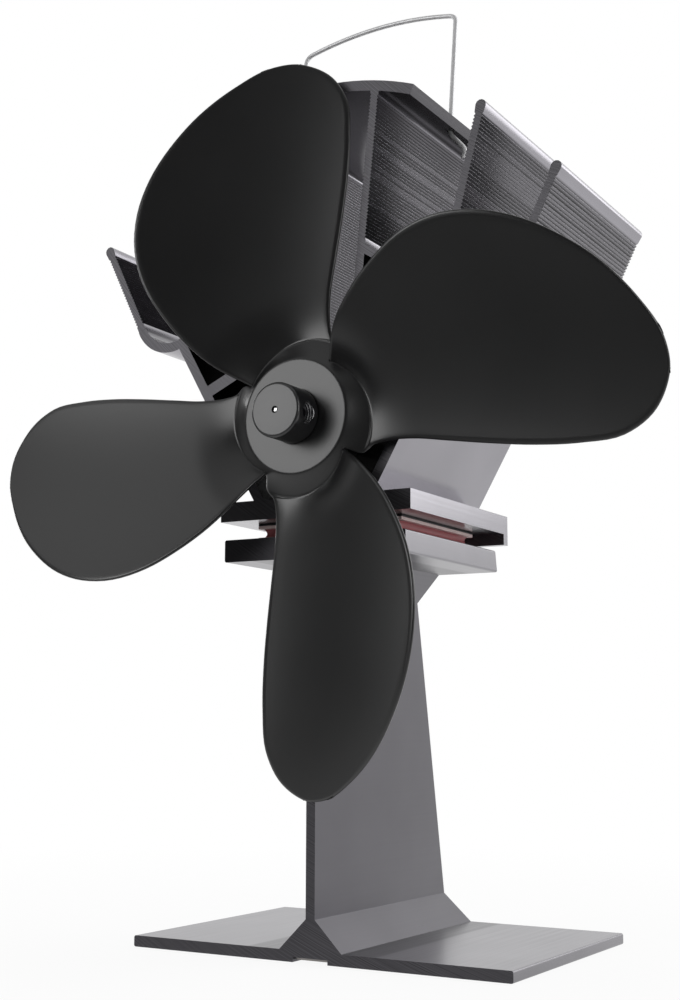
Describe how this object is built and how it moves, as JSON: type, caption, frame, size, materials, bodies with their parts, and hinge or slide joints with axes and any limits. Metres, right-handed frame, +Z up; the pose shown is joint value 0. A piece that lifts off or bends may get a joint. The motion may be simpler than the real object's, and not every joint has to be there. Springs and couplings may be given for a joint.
{
  "type": "heat-powered stove fan",
  "caption": "Small fan that stands on a hot stove: sawn aluminium stand, thermoelectric module, ribbed heat sink round a motor, twisted blades on a raised hub, wire handle.",
  "frame": {"origin": "middle of the footprint of the whole fan, on the plane of the foot's underside", "axes": "+Z up along the stand, -Y the way the fan faces, +X to the right of someone who faces the fan"},
  "size_m": [0.178, 0.0924, 0.242],
  "materials": {
    "anodised_aluminium": "black anodised, satin, sawn end faces",
    "blade_black": "satin black, bright thin edges",
    "hub_black": "satin black",
    "bright_wire": "polished",
    "steel": "ground",
    "motor_steel": "zinc plated, drawn",
    "bimetal": "rolled",
    "ceramic": "fired, matt",
    "sealant": "matt",
    "thermal_pad": "graphite, matt",
    "telluride": "cast",
    "black_plastic": "moulded",
    "ferrite": "sintered",
    "copper": "wound and lacquered",
    "brass": "stamped",
    "bronze": "sintered",
    "brush_carbon": "pressed carbon",
    "red_insulation": "silicone, satin",
    "black_insulation": "silicone, satin"
  },
  "bodies": {
    "base": {"stand": "anodised_aluminium", "bimetal_strip": "bimetal", "strip_rivet": "steel", "module_pad_hot": "thermal_pad", "module_ceramic_hot": "ceramic", "module_couples": "telluride", "module_seal": "sealant", "module_ceramic_cold": "ceramic", "module_pad_cold": "thermal_pad", "heat_sink": "anodised_aluminium", "motor_can": "motor_steel", "motor_end_cap": "black_plastic", "motor_bush_front": "bronze", "motor_bush_rear": "bronze", "motor_magnet_right": "ferrite", "motor_magnet_left": "ferrite", "motor_brush_right": "brush_carbon", "motor_brush_left": "brush_carbon", "motor_terminal_right": "brass", "motor_terminal_left": "brass", "lead_red": "red_insulation", "lead_black": "black_insulation"},
    "fan": {"fan_blades": "blade_black", "fan_hub": "hub_black", "hub_grub_screw": "steel", "motor_shaft": "steel", "motor_armature": "copper", "motor_commutator": "copper"},
    "handle": {"carry_handle": "bright_wire"}
  },
  "joints": [
    {"name": "fan_spin", "type": "hinge", "parent": "base", "child": "fan", "pos_m": [0, -0.02376, 0.12585], "axis": [0, 1, 0], "continuous": true},
    {"name": "handle_tilt", "type": "hinge", "parent": "base", "child": "handle", "pos_m": [0, 0.00424, 0.20532], "axis": [1, 0, 0], "range_deg": [0, 22.6]}
  ]
}
